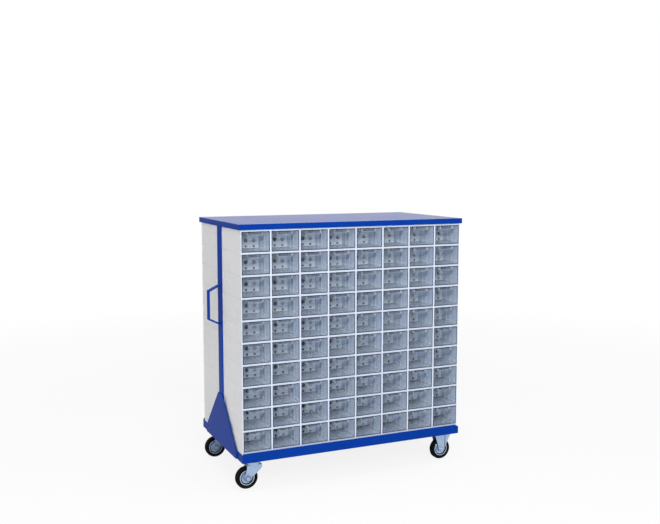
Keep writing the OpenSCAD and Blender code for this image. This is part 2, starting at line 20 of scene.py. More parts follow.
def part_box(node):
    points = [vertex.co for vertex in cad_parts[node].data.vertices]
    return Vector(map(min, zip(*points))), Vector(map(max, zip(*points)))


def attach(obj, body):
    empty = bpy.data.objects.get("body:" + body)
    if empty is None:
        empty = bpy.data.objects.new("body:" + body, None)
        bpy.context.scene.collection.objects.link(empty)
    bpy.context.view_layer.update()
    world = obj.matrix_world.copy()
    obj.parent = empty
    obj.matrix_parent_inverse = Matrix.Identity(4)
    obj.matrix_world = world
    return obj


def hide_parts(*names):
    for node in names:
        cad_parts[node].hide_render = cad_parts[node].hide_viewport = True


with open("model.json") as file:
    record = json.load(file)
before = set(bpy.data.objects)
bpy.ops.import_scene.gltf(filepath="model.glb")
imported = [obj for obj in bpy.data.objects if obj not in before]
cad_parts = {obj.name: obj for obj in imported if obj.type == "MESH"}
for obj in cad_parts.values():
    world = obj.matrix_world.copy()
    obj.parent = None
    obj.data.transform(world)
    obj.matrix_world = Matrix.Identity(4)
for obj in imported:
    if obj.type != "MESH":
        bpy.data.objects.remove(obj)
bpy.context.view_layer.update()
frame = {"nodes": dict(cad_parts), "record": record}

FRONT_MAP = "front"
LOG = logging.getLogger("cabinet")

# How far a face's normal reaches along an axis that the face lies square to.
SQUARE = 0.99
NEARLY_SQUARE = 0.9
# Further than the cabinet is deep, so that a range which ends there has no end.
BEYOND = 1.0

Colour = tuple[float, float, float]
Triple = tuple[float, float, float]
Point = tuple[float, float]
Span = tuple[float, float]


# ------------------------------------------------------------------ shader maths


class Signal:
    """A value on its way through a node tree, which reads like a number."""

    def __init__(self, tree: "ShaderTree", socket: bpy.types.NodeSocket) -> None:
        """Wraps one output socket of a tree."""
        self.tree = tree
        self.socket = socket

    def _math(self, operation: str, first: "Operand", second: "Operand") -> "Signal":
        """Adds one Math node.

        Args:
            operation: The Math node's operation.
            first: The value on its first socket.
            second: The value on its second socket.

        Returns:
            The node's output.
        """
        return self.tree.node("ShaderNodeMath", {"operation": operation}, {0: first, 1: second})

    def __add__(self, other: "Operand") -> "Signal":
        """self + other."""
        return self._math("ADD", self, other)

    def __radd__(self, other: "Operand") -> "Signal":
        """other + self."""
        return self._math("ADD", other, self)

    def __sub__(self, other: "Operand") -> "Signal":
        """self - other."""
        return self._math("SUBTRACT", self, other)

    def __rsub__(self, other: "Operand") -> "Signal":
        """other - self."""
        return self._math("SUBTRACT", other, self)

    def __mul__(self, other: "Operand") -> "Signal":
        """self * other."""
        return self._math("MULTIPLY", self, other)

    def __rmul__(self, other: "Operand") -> "Signal":
        """other * self."""
        return self._math("MULTIPLY", other, self)

    def __truediv__(self, other: "Operand") -> "Signal":
        """self / other."""
        return self._math("DIVIDE", self, other)

    def __rtruediv__(self, other: "Operand") -> "Signal":
        """other / self."""
        return self._math("DIVIDE", other, self)


Operand = Union[Signal, float, Sequence[float]]


class ShaderTree:
    """A material's or the world's node tree."""

    def __init__(self, owner: Union[bpy.types.Material, bpy.types.World]) -> None:
        """Empties the owner's node tree and takes it over."""
        owner.use_nodes = True
        self.tree = owner.node_tree
        self.tree.nodes.clear()

    def node(self, kind: str, settings: Mapping[str, Any], inputs: Mapping[Any, Operand],
             output: Union[str, int] = 0) -> Signal:
        """Adds one node of any kind.

        Args:
            kind: The node's type.
            settings: Its settings. "stops" sets a ramp's (place, colour) pairs.
            inputs: A value or link for each socket, by name or number.
            output: The output socket that is wanted, by name or number.

        Returns:
            That output socket.
        """
        node = self.tree.nodes.new(kind)
        for name, value in settings.items():
            if name == "stops":
                self._set_stops(node.color_ramp, value)
            else:
                setattr(node, name, value)
        for name, value in inputs.items():
            if isinstance(value, Signal):
                self.tree.links.new(value.socket, node.inputs[name])
            else:
                node.inputs[name].default_value = value
        return Signal(self, node.outputs[output])

    @staticmethod
    def _set_stops(ramp: bpy.types.ColorRamp, stops: Sequence[tuple[float, Sequence[float]]]) -> None:
        """Gives a colour ramp its stops."""
        while len(ramp.elements) < len(stops):
            ramp.elements.new(1.0)
        for element, (place, colour) in zip(ramp.elements, stops):
            element.position = place
            element.color = colour

    def noise(self, scale: float, detail: float = 2.0, stretch: Sequence[float] = (1, 1, 1)) -> Signal:
        """Makes noise in the piece's own coordinates.

        Args:
            scale: Cells per metre.
            detail: Octaves of finer noise.
            stretch: How much the cells are squeezed along X, Y and Z.

        Returns:
            Noise from 0 to 1.
        """
        place = self.node("ShaderNodeTexCoord", {}, {}, "Object")
        place = self.node("ShaderNodeMapping", {}, {"Vector": place, "Scale": stretch})
        return self.node("ShaderNodeTexNoise", {}, {"Vector": place, "Scale": scale, "Detail": detail})

    def ramp(self, value: Signal, low: float, high: float) -> Signal:
        """Stretches a value so that low becomes 0 and high becomes 1, held in between."""
        return self.node("ShaderNodeMapRange", {"clamp": True},
                         {"Value": value, "From Min": low, "From Max": high})

    def blend(self, factor: Signal, first: Operand, second: Operand) -> Signal:
        """Mixes two colours by factor."""
        settings = {"data_type": "RGBA", "blend_type": "MIX"}
        # A Mix node takes colours on these sockets, and plain numbers on lower ones.
        first_colour, second_colour, mixed_colour = 6, 7, 2
        inputs = {0: factor, first_colour: first, second_colour: second}
        return self.node("ShaderNodeMix", settings, inputs, mixed_colour)

    def bump(self, height: Signal, depth: float, strength: float = 1.0) -> Signal:
        """Turns a height of 0 to 1 into a normal.

        Args:
            height: The height, from 0 to 1.
            depth: What 1 stands for, in metres.
            strength: How much of it shows.

        Returns:
            The bent normal.
        """
        return self.node("ShaderNodeBump", {},
                         {"Height": height, "Distance": depth, "Strength": strength})

    def surface(self, inputs: Mapping[str, Operand]) -> None:
        """Ends the tree in a Principled shader with these inputs."""
        shader = self.node("ShaderNodeBsdfPrincipled", {}, inputs)
        self.node_out("ShaderNodeOutputMaterial", shader)

    def node_out(self, kind: str, shader: Signal) -> None:
        """Adds the tree's output node."""
        output = self.tree.nodes.new(kind)
        self.tree.links.new(shader.socket, output.inputs["Surface"])


def rgba(colour: Colour) -> tuple[float, float, float, float]:
    """A colour with full alpha."""
    return (*colour, 1.0)


def scaled(colour: Colour, share: float) -> tuple[float, float, float, float]:
    """A colour made lighter or darker by a share, with full alpha."""
    return tuple(min(1.0, part * share) for part in colour) + (1.0,)


# ---------------------------------------------------------------------- finishes


@dataclass(frozen=True)
class Finish:
    """What a surface is made of and how it is worn."""

    name: str
    slot: str
    colour: Colour

    def material(self) -> bpy.types.Material:
        """The finish's material, made the first time it is asked for."""
        known = bpy.data.materials.get(self.name)
        if known:
            return known
        made = bpy.data.materials.new(self.name)
        self.shade(ShaderTree(made))
        return made

    def shade(self, tree: ShaderTree) -> None:
        """Fills the material's node tree."""
        raise NotImplementedError

    def mottled(self, tree: ShaderTree, cloud: Signal, shades: Span) -> Signal:
        """The finish's colour, from its first shade to its second where the cloud is thick."""
        thin, thick = shades
        return tree.blend(cloud, scaled(self.colour, thin), scaled(self.colour, thick))


@dataclass(frozen=True)
class PowderCoat(Finish):
    """Baked powder paint on steel, with its orange peel and a few rubbed places."""

    roughness: float = 0.17
    gloss: float = 0.02
    cloud_scale: float = 5.0
    cloud_dulling: float = 0.05
    shades: Span = (0.9, 1.1)
    scuff: float = 0.35
    rub_scale: float = 38.0
    rub_range: Span = (0.60, 0.78)
    rub_share: float = 0.25
    rub_shade: float = 1.9
    rub_dulling: float = 0.25
    peel_scale: float = 650.0
    peel_depth: float = 0.00008
    peel_strength: float = 0.2

    def shade(self, tree: ShaderTree) -> None:
        """Fills the material's node tree."""
        cloud = tree.noise(self.cloud_scale, detail=3.0)
        rub = tree.ramp(tree.noise(self.rub_scale, detail=5.0), *self.rub_range) * self.scuff
        base = self.mottled(tree, cloud, self.shades)
        base = tree.blend(rub * self.rub_share, base, scaled(self.colour, self.rub_shade))
        peel = tree.noise(self.peel_scale)
        tree.surface({
            "Base Color": base,
            "Roughness": self.roughness + rub * self.rub_dulling + cloud * self.cloud_dulling,
            "Normal": tree.bump(peel, self.peel_depth, self.peel_strength),
            "Specular IOR Level": self.gloss,
        })


@dataclass(frozen=True)
class MouldedPlastic(Finish):
    """Opaque injection-moulded plastic with a fine grain and a little handling dirt."""

    roughness: float = 0.42
    gloss: float = 0.25
    cloud_scale: float = 3.0
    shades: Span = (0.965, 1.03)
    dirt: float = 0.12
    dirt_scale: float = 14.0
    dirt_range: Span = (0.52, 0.80)
    dirt_shade: float = 0.55
    dirt_dulling: float = 0.6
    grain_scale: float = 1400.0
    grain_depth: float = 0.00006
    grain_strength: float = 0.3

    def shade(self, tree: ShaderTree) -> None:
        """Fills the material's node tree."""
        cloud = tree.noise(self.cloud_scale, detail=4.0)
        dirt = tree.ramp(tree.noise(self.dirt_scale, detail=6.0), *self.dirt_range) * self.dirt
        base = self.mottled(tree, cloud, self.shades)
        base = tree.blend(dirt, base, scaled(self.colour, self.dirt_shade))
        grain = tree.noise(self.grain_scale)
        tree.surface({
            "Base Color": base,
            "Roughness": self.roughness + dirt * self.dirt_dulling,
            "Normal": tree.bump(grain, self.grain_depth, self.grain_strength),
            "Specular IOR Level": self.gloss,
        })


@dataclass(frozen=True)
class ClearPlastic(Finish):
    """Smoky clear moulded plastic, a little hazy where hands and parts have rubbed it."""

    body: float = 0.16
    roughness: float = 0.16
    gloss: float = 0.15
    cloud_scale: float = 9.0
    shades: Span = (0.90, 1.08)
    haze: float = 0.05
    haze_scale: float = 45.0
    haze_stretch: Triple = (1, 1, 2)
    haze_range: Span = (0.45, 0.75)
    haze_dulling: float = 0.18
    ripple_scale: float = 70.0
    ripple_depth: float = 0.0004
    ripple_strength: float = 0.15

    def shade(self, tree: ShaderTree) -> None:
        """Fills the material's node tree."""
        cloud = tree.noise(self.cloud_scale, detail=3.0)
        rubbed = tree.noise(self.haze_scale, detail=5.0, stretch=self.haze_stretch)
        haze = tree.ramp(rubbed, *self.haze_range)
        ripple = tree.noise(self.ripple_scale)
        tree.surface({
            "Base Color": self.mottled(tree, cloud, self.shades),
            "Roughness": self.roughness + haze * self.haze_dulling,
            "Alpha": self.body + haze * self.haze + self.mist_and_painted_streaks(tree),
            "Normal": tree.bump(ripple, self.ripple_depth, self.ripple_strength),
            "Specular IOR Level": self.gloss,
        })

    def mist_and_painted_streaks(self, tree: ShaderTree) -> Operand:
        """Extra opacity that only a drawer's front has: none on plain walls."""
        return 0.0


@dataclass(frozen=True)
class ClearFront(ClearPlastic):
    """The same plastic in a drawer's front, more opaque low down and towards the right, with slanting
    streaks of painted reflection.
    """

    mist: float = 0.08
    mist_range: Span = (0.55, 0.05)
    side_mist: float = 0.10
    side_range: Span = (0.15, 1.0)
    streaks: tuple[float, ...] = (0.93, 1.03, 1.14)
    streak_lean: float = 1.35
    streak_half: float = 0.022
    streak_core: float = 0.2
    streak_top: float = 0.42
    streak_fade: float = 0.3
    streak_light: float = 0.16

    def mist_and_painted_streaks(self, tree: ShaderTree) -> Operand:
        """Extra opacity in the front's own coordinates, which run from 0 to 1 across and up it: more
        low down and towards the right, and in slanting streaks of painted reflection.
        """
        place = tree.node("ShaderNodeUVMap", {"uv_map": FRONT_MAP}, {}, "UV")
        across = tree.node("ShaderNodeSeparateXYZ", {}, {"Vector": place}, "X")
        up = tree.node("ShaderNodeSeparateXYZ", {}, {"Vector": place}, "Y")
        low_mist = tree.ramp(up, *self.mist_range) * self.mist
        light = low_mist + tree.ramp(across, *self.side_range) * self.side_mist
        # Slanting streaks of painted reflection: more opaque, and so lighter over the dark inside.
        full = self.streak_top * self.streak_fade
        tall = tree.ramp(up, self.streak_top, full) * self.streak_light
        for middle in self.streaks:
            off = across + up * self.streak_lean - middle
            aside = tree.node("ShaderNodeMath", {"operation": "ABSOLUTE"}, {0: off})
            core = tree.ramp(aside, self.streak_half, self.streak_half * self.streak_core)
            light = light + core * tall
        return light


@dataclass(frozen=True)
class ZincPlate(Finish):
    """Bright zinc-plated steel with soft cloudy patches and fine drawing lines."""

    roughness: float = 0.30
    metal: float = 0.9
    cloud_scale: float = 45.0
    cloud_tarnish: float = 0.15
    shades: Span = (0.85, 1.1)
    line_scale: float = 420.0
    line_stretch: Triple = (0.12, 1, 1)
    line_dulling: float = 0.16
    line_depth: float = 0.00005
    line_strength: float = 0.25

    def shade(self, tree: ShaderTree) -> None:
        """Fills the material's node tree."""
        cloud = tree.noise(self.cloud_scale, detail=4.0)
        lines = tree.noise(self.line_scale, detail=3.0, stretch=self.line_stretch)
        tree.surface({
            "Base Color": self.mottled(tree, cloud, self.shades),
            "Metallic": self.metal - cloud * self.cloud_tarnish,
            "Roughness": self.roughness + lines * self.line_dulling,
            "Normal": tree.bump(lines, self.line_depth, self.line_strength),
        })


@dataclass(frozen=True)
class Rubber(Finish):
    """Solid rubber, greyed by floor dust."""

    roughness: float = 0.55
    gloss: float = 0.02
    dust: Colour = (0.040, 0.042, 0.048)
    dust_scale: float = 55.0
    dust_range: Span = (0.50, 0.82)
    dust_share: float = 0.35
    dust_dulling: float = 0.25
    grain_scale: float = 900.0
    grain_depth: float = 0.0002
    grain_strength: float = 0.4

    def shade(self, tree: ShaderTree) -> None:
        """Fills the material's node tree."""
        dust = tree.ramp(tree.noise(self.dust_scale, detail=6.0), *self.dust_range)
        grain = tree.noise(self.grain_scale, detail=3.0)
        tree.surface({
            "Base Color": tree.blend(dust * self.dust_share, rgba(self.colour), rgba(self.dust)),
            "Roughness": self.roughness + dust * self.dust_dulling,
            "Normal": tree.bump(grain, self.grain_depth, self.grain_strength),
            "Specular IOR Level": self.gloss,
        })


@dataclass(frozen=True)
class StudioFloor(Finish):
    """Pale floor that runs into a white ground as the camera sees it."""

    glow: float = 0.86
    fade: Span = (1.6, 5.0)
    mottle_scale: float = 2.0
    shades: Span = (0.98, 1.0)

    def shade(self, tree: ShaderTree) -> None:
        """Fills the material's node tree."""
        place = tree.node("ShaderNodeTexCoord", {}, {}, "Object")
        away = tree.node("ShaderNodeVectorMath", {"operation": "LENGTH"}, {0: place}, "Value")
        far = tree.ramp(away, *self.fade)
        seen = tree.node("ShaderNodeLightPath", {}, {}, "Is Camera Ray")
        mottle = self.mottled(tree, tree.noise(self.mottle_scale, detail=3.0), self.shades)
        plain = tree.node("ShaderNodeBsdfDiffuse", {}, {"Color": mottle})
        white = tree.node("ShaderNodeEmission", {}, {"Color": (1, 1, 1, 1), "Strength": 1.0})
        share = seen * (self.glow + far * (1.0 - self.glow))
        tree.node_out("ShaderNodeOutputMaterial",
                      tree.node("ShaderNodeMixShader", {}, {0: share, 1: plain, 2: white}))


CREAM = "cream_plastic"
CLEAR = "clear_plastic"
STEEL = "zinc_steel"

BLUE = PowderCoat("blue_powder_coat", "blue_paint", (0.0022, 0.038, 0.29))
HOUSING = MouldedPlastic("pale_housing_plastic", CREAM, (0.740, 0.742, 0.758))
# Painted light: a darker, bluer copy of the housing plastic for the faces towards the front.
PAINTED_FRONT_LIGHT = MouldedPlastic("housing_front_painted_light", CREAM, (0.60, 0.66, 0.80))
# Painted shade: a near-black copy of the housing plastic for the faces inside the bays.
PAINTED_BAY_SHADE = MouldedPlastic("bay_plastic_painted_shade", CREAM, (0.035, 0.048, 0.075), gloss=0.05)
DIVIDER = MouldedPlastic("divider_plastic", CLEAR, (0.76, 0.87, 1.0), roughness=0.35)


class Zone(Enum):
    """The parts of a drawer's moulding that look different, though it is one plastic: some of them are
    painted shade or a painted highlight.
    """

    WALL = ClearPlastic("clear_drawer_wall", CLEAR, (0.58, 0.71, 0.99), body=0.52, haze=0.14)
    # Painted shade: the back wall's left part, darker and clearer, so that the bays' painted shade
    # shows through it.
    BACK = ClearPlastic("clear_drawer_back", CLEAR, (0.20, 0.26, 0.38), body=0.08, haze=0.05)
    FRONT = ClearFront("clear_drawer_front", CLEAR, (0.66, 0.79, 1.0), body=0.012, haze=0.05)
    POCKET = ClearPlastic("clear_finger_pocket", CLEAR, (0.50, 0.62, 0.84), body=0.12, haze=0.08)
    # Painted highlight: the finger pocket's side walls near its top.
    POCKET_SIDE = ClearPlastic("clear_pocket_side_painted_highlight", CLEAR, (0.85, 0.92, 1.0), body=0.60, haze=0.10)
    # Painted shade: a dark band at the top of the finger pocket.
    POCKET_TOP = ClearPlastic("clear_pocket_top_painted_shade", CLEAR, (0.09, 0.11, 0.15), body=0.46, haze=0.10)
    # Painted shade: the floor is a darker copy of the walls' plastic.
    FLOOR = ClearPlastic("clear_drawer_floor_painted_shade", CLEAR, (0.22, 0.31, 0.47), body=0.50, haze=0.12)
    # Painted shade: a near-black band round the front's outer face and along the floor's corners.
    EDGE = ClearPlastic("clear_drawer_edge_painted_shade", CLEAR, (0.02, 0.03, 0.06), body=0.76, haze=0.10)


ZINC = ZincPlate("bright_zinc", STEEL, (0.41, 0.53, 0.72))
# Painted highlight: a lighter copy of the zinc for the rim's lip.
LIP_HIGHLIGHT = ZincPlate("zinc_lip_painted_highlight", STEEL, (0.74, 0.85, 0.96), roughness=0.22)
# Painted shade: a near-black copy of the zinc for the rim's groove, the swivel plates' edges, the fixed
# legs' step strips and the fork rings.
PAINTED_ZINC_SHADE = ZincPlate("zinc_painted_shade", STEEL, (0.05, 0.08, 0.13))
TYRE = Rubber("black_caster_rubber", "tyre_rubber", (0.005, 0.006, 0.008))
FLOOR = StudioFloor("studio_floor", "", (0.86, 0.86, 0.86))


# ------------------------------------------------------------------------ meshes


class Form:
    """A mesh in the making."""

    SHARP = math.radians(34)
    FLAT = math.radians(0.5)
    WELD = 2e-6
    CUT = 1e-6

    def __init__(self) -> None:
        """Starts with nothing."""
        self.bm = bmesh.new()

    @classmethod
    def of_node(cls, node: str) -> "Form":
        """Copies a frame node, welded, with its flat faces made whole again.

        Args:
            node: The node's name.

        Returns:
            The copy, which can be rounded and dressed.
        """
        form = cls()
        form.bm.from_mesh(frame["nodes"][node].data)
        bmesh.ops.remove_doubles(form.bm, verts=form.bm.verts, dist=cls.WELD)
        bmesh.ops.dissolve_limit(form.bm, angle_limit=cls.FLAT,
                                 verts=form.bm.verts, edges=form.bm.edges)
        return form

    def rounded(self, radius: float, segments: int = 2) -> "Form":
        """Rounds every sharp edge.

        Args:
            radius: The rounding's radius.
            segments: Facets across each rounding.

        Returns:
            The form itself.
        """
        edges = [e for e in self.bm.edges if e.is_manifold and e.calc_face_angle() > self.SHARP]
        bmesh.ops.bevel(self.bm, geom=edges, offset=radius, segments=segments, profile=0.5,
                        affect="EDGES", clamp_overlap=True)
        return self

    def score(self, faces: Sequence[bmesh.types.BMFace], axis: int, place: float) -> None:
        """Cuts some flat faces along a plane, without changing the shape.

        Args:
            faces: The faces to cut.
            axis: The plane's axis, 0 to 2.
            place: Where it crosses that axis.
        """
        edges = {edge for face in faces for edge in face.edges}
        verts = {vert for face in faces for vert in face.verts}
        point, normal = Vector(), Vector()
        point[axis], normal[axis] = place, 1.0
        bmesh.ops.bisect_plane(self.bm, geom=[*faces, *edges, *verts], dist=self.CUT,
                               plane_co=point, plane_no=normal)

    def islands(self) -> list["Form"]:
        """Splits the form into its separate solids.

        Returns:
            One form for each, the one with the most faces first.
        """
        left, parts = set(self.bm.verts), []
        while left:
            group, edge = set(), [left.pop()]
            while edge:
                vert = edge.pop()
                group.add(vert)
                for link in vert.link_edges:
                    other = link.other_vert(vert)
                    if other in left:
                        left.remove(other)
                        edge.append(other)
            parts.append(self._copy_of(group))
        return sorted(parts, key=lambda part: -len(part.bm.faces))

    def _copy_of(self, verts: set) -> "Form":
        """A new form of the faces on these vertices."""
        form = Form()
        twins = {v: form.bm.verts.new(v.co) for v in verts}
        for face in {f for v in verts for f in v.link_faces}:
            form.bm.faces.new([twins[v] for v in face.verts])
        return form

    def add(self, other: bpy.types.Mesh, place: Matrix) -> None:
        """Adds a copy of a mesh at a place."""
        before = len(self.bm.verts)
        self.bm.from_mesh(other)
        self.bm.verts.ensure_lookup_table()
        bmesh.ops.transform(self.bm, matrix=place, verts=self.bm.verts[before:])

    def turned(self, profile: Sequence[Point], place: Matrix, segments: int = 96) -> "Form":
        """Turns a closed profile round the Z axis of a place.

        Args:
            profile: (radius, height) points, round the section once.
            place: Where the axis and its zero height lie.
            segments: Facets round the axis.

        Returns:
            The form itself.
        """
        rings = []
        for step in range(segments):
            angle = 2 * math.pi * step / segments
            side = Vector((math.cos(angle), math.sin(angle), 0))
            rings.append([self.bm.verts.new(place @ (side * r + Vector((0, 0, h))))
                          for r, h in profile])
        count = len(profile)
        for here, there in zip(rings, rings[1:] + rings[:1]):
            for i in range(count):
                j = (i + 1) % count
                self.bm.faces.new((here[i], there[i], there[j], here[j]))
        return self

    def mesh(self, name: str) -> bpy.types.Mesh:
        """Ends the form.

        Args:
            name: The mesh's name.

        Returns:
            A mesh with smooth faces and its sharp edges marked.
        """
        bmesh.ops.recalc_face_normals(self.bm, faces=self.bm.faces)
        for face in self.bm.faces:
            face.smooth = True
        for edge in self.bm.edges:
            edge.smooth = edge.is_manifold and edge.calc_face_angle() < self.SHARP
        mesh = bpy.data.meshes.new(name)
        self.bm.to_mesh(mesh)
        self.bm.free()
        return mesh


def place_piece(mesh: bpy.types.Mesh, finishes: Sequence[Finish], body: str,
                nodes: Sequence[str] = ()) -> bpy.types.Object:
    """Puts a finished piece on its body.

    Args:
        mesh: The piece's mesh, whose name it takes.
        finishes: What it is made of, in the order of its faces' material numbers.
        body: The body that it rides on.
        nodes: The frame's nodes that it stands for.

    Returns:
        The piece.
    """
    piece = bpy.data.objects.new(mesh.name, mesh)
    bpy.context.scene.collection.objects.link(piece)
    for finish in finishes:
        mesh.materials.append(finish.material())
    weighted = piece.modifiers.new("flat_face_shading", "WEIGHTED_NORMAL")
    weighted.keep_sharp = True
    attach(piece, body)
    if nodes:
        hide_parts(*nodes)
    LOG.info("%s on %s: %d faces", piece.name, body, len(mesh.polygons))
    return piece


def body_of_node(node: str) -> str:
    """The body that a frame node is part of."""
    bodies = frame["record"]["behaviour"]["bodies"]
    return next(body for body, nodes in bodies.items() if node in nodes)


def nodes_named(start: str) -> list[str]:
    """The frame's nodes whose names start like this, in order."""
    return sorted(node for node in frame["nodes"] if node.startswith(start))


# ------------------------------------------------------------------- the cabinet


@dataclass
class Steelwork:
    """The blue frame: base, posts, rails, gussets, top panel and push handle."""

    fold_radius: float = 0.0010
    plate_radius: float = 0.0006
    lip_reach: float = 0.025
    lip_slope: float = 0.003
    lip_top: float = 0.001
    folded: tuple[str, ...] = ("base_frame", "top_panel", "post_left", "post_right",
                               "cross_members", "spine_rails")
    plates: tuple[str, ...] = ("gusset_left", "gusset_right", "push_handle", "caster_pads")

    def build(self) -> None:
        """Rounds each steel piece and paints it."""
        for group, radius in ((self.folded, self.fold_radius), (self.plates, self.plate_radius)):
            for node in group:
                form = Form.of_node(node)
                if node == "base_frame":
                    self.square_lip(form)
                place_piece(form.rounded(radius).mesh(f"{node}_painted"), [BLUE], body_of_node(node),
                            [node])

    def square_lip(self, form: Form) -> None:
        """Runs the base's upright lips out to its left end, where they stand almost square."""
        low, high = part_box("base_frame")
        for vert in form.bm.verts:
            if vert.co.z > high.z - self.lip_top and vert.co.x < low.x + self.lip_reach:
                vert.co.x = low.x + self.lip_slope


@dataclass
class Housings:
    """The stacked plastic housings of both banks."""

    edge_radius: float = 0.00035
    skin: Triple = (0.003, 0.001, 0.001)
    finishes: tuple[Finish, ...] = (HOUSING, PAINTED_BAY_SHADE, PAINTED_FRONT_LIGHT)

    def build(self) -> None:
        """Rounds each stack's edges and gives it its plastic, with painted shade inside the bays and
        painted light on the faces towards the front.
        """
        for node in nodes_named("housings_"):
            form = Form.of_node(node).rounded(self.edge_radius)
            low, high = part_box(node)
            for face in form.bm.faces:
                finish = self.finish_at(face.calc_center_median(), face.normal, low, high)
                face.material_index = self.finishes.index(finish)
            place_piece(form.mesh(f"{node}_moulded"), self.finishes, body_of_node(node), [node])

    def finish_at(self, spot: Vector, normal: Vector, low: Vector, high: Vector) -> Finish:
        """The finish of a face.

        Args:
            spot: The face's middle.
            normal: Its direction.
            low: The stack's lower corner.
            high: The stack's upper corner.

        Returns:
            Painted shade inside the bays, and outside them painted light on the faces towards the
            front, or the sides' plastic.
        """
        # Faces inside the bays get painted shade.
        if all(low[i] + self.skin[i] < spot[i] < high[i] - self.skin[i] for i in range(3)):
            return PAINTED_BAY_SHADE
        # Faces towards the front get painted light.
        facing = spot.y * normal.y > 0 and abs(normal.y) > NEARLY_SQUARE
        return PAINTED_FRONT_LIGHT if facing else HOUSING


@dataclass
class DrawerBanks:
    """All the drawers, copied from the one that the frame holds in full detail."""

    pattern: str = "drawer_front_5_1"
    bays: int = 8
    edge_radius: float = 0.0004
    rim: float = 0.0026
    seam: float = 0.0050
    front_thickness: float = 0.0025
    # Shares of the front's thickness that part its outer face from its edge and back.
    outer_share: float = 0.6
    inner_share: float = 1.1
    wall: float = 0.002
    # Share of the wall that takes in the whole of the back one.
    back_share: float = 1.2
    # A node wider than this many drawers holds a row of them.
    row_share: float = 1.5
    floor_height: float = 0.0047
    pocket_half: float = 0.0362
    pocket_depth: float = 0.0205
    pocket_drop: float = 0.0412
    # How far down from the top the finger pocket's painted shade and painted highlight reach.
    pocket_shade: float = 0.0150
    # Share of the drawer's width, from the left, that the back wall's painted shade covers.
    shaded_back_share: float = 0.77
    drawer: bpy.types.Mesh = field(init=False)
    divider: bpy.types.Mesh = field(init=False)

    def __post_init__(self) -> None:
        """Takes the pattern drawer apart and measures it."""
        shell, sheet = Form.of_node(self.pattern).islands()[:2]
        if self._depth(sheet) > self._depth(shell):
            shell, sheet = sheet, shell
        self.low, self.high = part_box(self.pattern)
        shell.rounded(self.edge_radius, 1)
        self.mark_lines(shell)
        self.mark_zones(shell)
        self.drawer = shell.mesh("drawer_pattern")
        self.divider = sheet.rounded(self.edge_radius, 1).mesh("divider_pattern")

    @property
    def shaded_back_end(self) -> float:
        """Where the back wall's clearer part, in painted shade, ends."""
        return self.low.x + self.shaded_back_share * (self.high.x - self.low.x)

    @property
    def back_face(self) -> float:
        """A place just in front of the back wall, which only that wall lies behind."""
        return self.high.y - self.wall * self.back_share

    @staticmethod
    def _depth(form: Form) -> float:
        """How far a form reaches from front to back."""
        places = [v.co.y for v in form.bm.verts]
        return max(places) - min(places)

    def mark_lines(self, shell: Form) -> None:
        """Scores the shell where its zones meet: round its front, and along its floor's sides."""
        def facing(axis: int, low: float, high: float) -> list[bmesh.types.BMFace]:
            """Faces square to an axis whose middles lie between low and high on it."""
            return [f for f in shell.bm.faces
                    if abs(f.normal[axis]) > SQUARE and low < f.calc_center_median()[axis] < high]

        front = self.low.y + self.front_thickness / 2
        for axis, place in ((0, self.low.x + self.rim), (0, self.high.x - self.rim),
                            (2, self.low.z + self.rim), (2, self.high.z - self.rim)):
            shell.score(facing(1, self.low.y - BEYOND, front), axis, place)
        floor = self.low.z + self.floor_height
        inner = self.wall + self.seam
        for place in (self.low.x + inner, self.high.x - inner):
            shell.score(facing(2, floor - self.seam / 2, floor + self.seam / 2), 0, place)
        for low, high in ((self.low.x, self.low.x + inner), (self.high.x - inner, self.high.x)):
            shell.score(facing(0, low, high), 2, floor + self.seam)
        # Where the back wall's painted shade ends.
        shell.score(facing(1, self.back_face, self.high.y + BEYOND), 0, self.shaded_back_end)
        # Scores the finger pocket where its painted shade at the top begins.
        behind = self.low.y + self.front_thickness
        shade = self.high.z - self.pocket_shade
        shell.score(facing(1, behind, self.low.y + self.pocket_depth + self.wall), 2, shade)
        shell.score([f for f in facing(0, self.low.x + inner, self.high.x - inner)
                     if f.calc_center_median().y < self.low.y + self.pocket_depth], 2, shade)

    def mark_zones(self, shell: Form) -> None:
        """Gives each face of the shell the number of its zone, and its place on the front."""
        zones = list(Zone)
        places = shell.bm.loops.layers.uv.new(FRONT_MAP)
        size = self.high - self.low
        for face in shell.bm.faces:
            face.material_index = zones.index(self.zone_at(face.calc_center_median(), face.normal))
            for loop in face.loops:
                spot = loop.vert.co - self.low
                loop[places].uv = (spot.x / size.x, spot.z / size.z)

    def zone_at(self, spot: Vector, normal: Vector) -> Zone:
        """The zone of a face of the shell, from its middle and its direction."""
        aside = min(spot.x - self.low.x, self.high.x - spot.x)
        middle = (self.low.x + self.high.x) / 2
        under, over = spot.z - self.low.z, self.high.z - spot.z
        if spot.y < self.low.y + self.front_thickness * self.outer_share:
            # A band round the front's outer face gets painted shade.
            return Zone.EDGE if min(aside, under, over) < self.rim else Zone.FRONT
        if spot.y < self.low.y + self.front_thickness * self.inner_share:
            return Zone.FRONT
        if (abs(spot.x - middle) < self.pocket_half and over < self.pocket_drop
                and spot.y < self.low.y + self.pocket_depth):
            if over > self.pocket_shade:
                return Zone.POCKET
            # Near its top the pocket's side walls get a painted highlight, and its other faces painted
            # shade.
            return Zone.POCKET_SIDE if abs(normal.x) > NEARLY_SQUARE else Zone.POCKET_TOP
        corner = self.floor_height + self.seam
        # The back wall's left part gets painted shade.
        if spot.y > self.back_face and under > self.floor_height:
            return Zone.BACK if spot.x < self.shaded_back_end else Zone.WALL
        # Painted shade along the corners where the floor meets the side walls.
        if under < corner and aside < self.wall + self.seam:
            return Zone.EDGE
        # The drawer's floor gets painted shade.
        return Zone.FLOOR if under < corner else Zone.WALL

